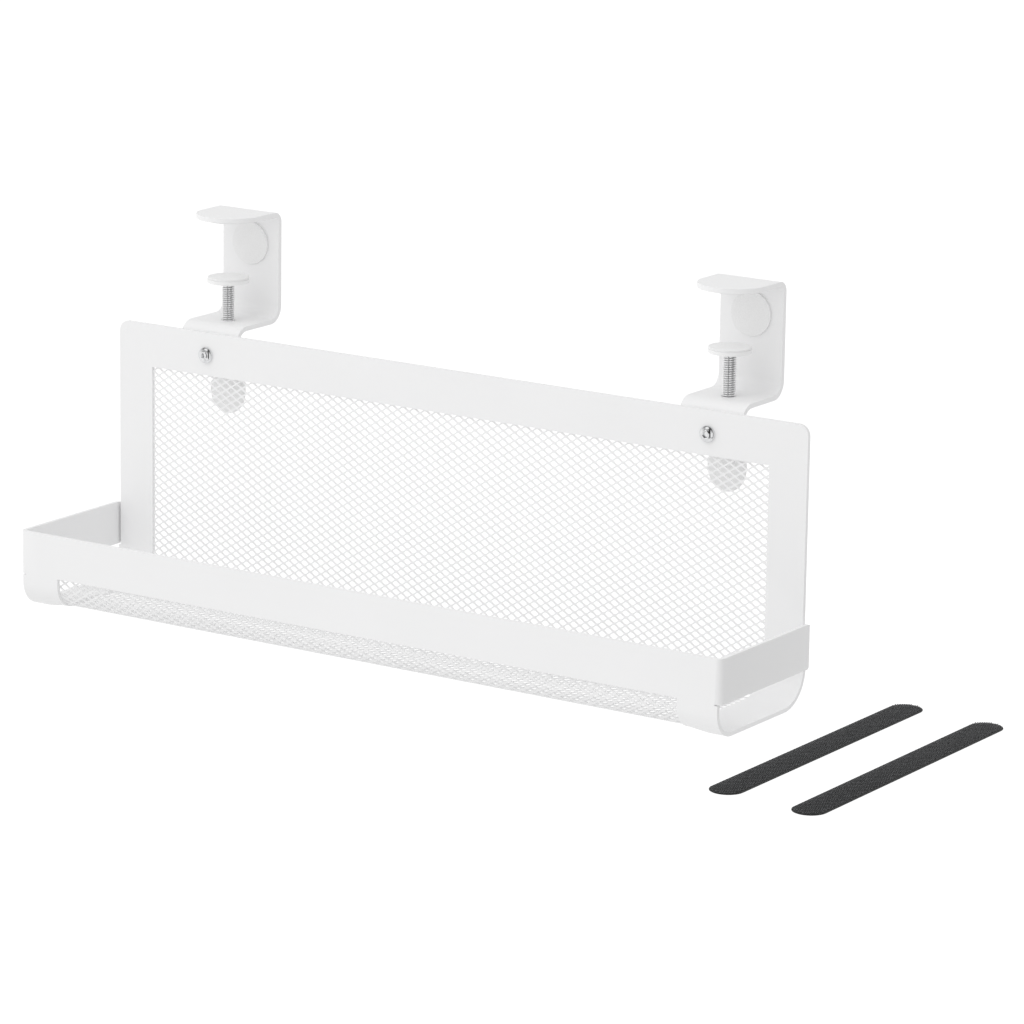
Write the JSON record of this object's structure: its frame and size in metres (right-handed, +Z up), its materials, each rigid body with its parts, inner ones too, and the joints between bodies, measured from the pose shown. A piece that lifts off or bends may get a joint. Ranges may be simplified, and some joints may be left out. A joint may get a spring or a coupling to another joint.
{
  "type": "under desk drawer",
  "caption": "Shallow mesh tray with a tall back panel that hangs below a desk from two screw clamps, with hook-and-loop cable straps.",
  "frame": {"origin": "where the desk's top surface meets its rear edge face, midway between the two clamps", "axes": "+X along the tray, to the right of someone facing its open front; +Y away from the desk board, through the clamps' uprights; +Z up"},
  "size_m": [0.4622, 0.176, 0.1761],
  "materials": {
    "coated_steel": "satin powder coat",
    "coated_mesh": "satin powder coat",
    "pad": "matte foam rubber",
    "zinc": "bright zinc plate",
    "white_plastic": "satin moulded",
    "strap": "hook-and-loop weave"
  },
  "bodies": {
    "tray": {"tray_frame": "coated_steel", "tray_mesh": "coated_mesh", "bracket_left": "coated_steel", "bracket_right": "coated_steel", "tongue_pad_left": "pad", "tongue_pad_right": "pad", "upright_pad_left": "pad", "upright_pad_right": "pad", "weld_nut_left": "zinc", "weld_nut_right": "zinc", "fixing_screws": "zinc", "fixing_washers": "zinc", "fixing_nuts": "zinc"},
    "press_left": {"press_pad_left": "pad", "press_cup_left": "white_plastic"},
    "screw_left": {"clamp_screw_left": "zinc", "knob_left": "white_plastic"},
    "press_right": {"press_pad_right": "pad", "press_cup_right": "white_plastic"},
    "screw_right": {"clamp_screw_right": "zinc", "knob_right": "white_plastic"},
    "strap_inner": {"strap_inner": "strap"},
    "strap_outer": {"strap_outer": "strap"}
  },
  "joints": [
    {"name": "press_left_lift", "type": "slide", "parent": "tray", "child": "press_left", "axis": [0, 0, 1], "range_m": [-0.0161, 0.0115]},
    {"name": "screw_left_turn", "type": "hinge", "parent": "press_left", "child": "screw_left", "pos_m": [-0.135, -0.0164, -0.0461], "axis": [0, 0, 1], "range_deg": [-5797, 4141]},
    {"name": "press_right_lift", "type": "slide", "parent": "tray", "child": "press_right", "axis": [0, 0, 1], "range_m": [-0.0176, 0.01]},
    {"name": "screw_right_turn", "type": "hinge", "parent": "press_right", "child": "screw_right", "pos_m": [0.135, -0.0164, -0.0446], "axis": [0, 0, 1], "range_deg": [-6337, 3601]},
    {"name": "strap_inner_lift", "type": "slide", "parent": "tray", "child": "strap_inner", "axis": [0, 0, 1], "range_m": [0, 0.06]},
    {"name": "strap_outer_lift", "type": "slide", "parent": "tray", "child": "strap_outer", "axis": [0, 0, 1], "range_m": [0, 0.06]}
  ],
  "couplings": [
    {"joint": "screw_left_turn", "follows": "press_left_lift", "rad_per_m": 6283.2},
    {"joint": "screw_right_turn", "follows": "press_right_lift", "rad_per_m": 6283.2}
  ]
}
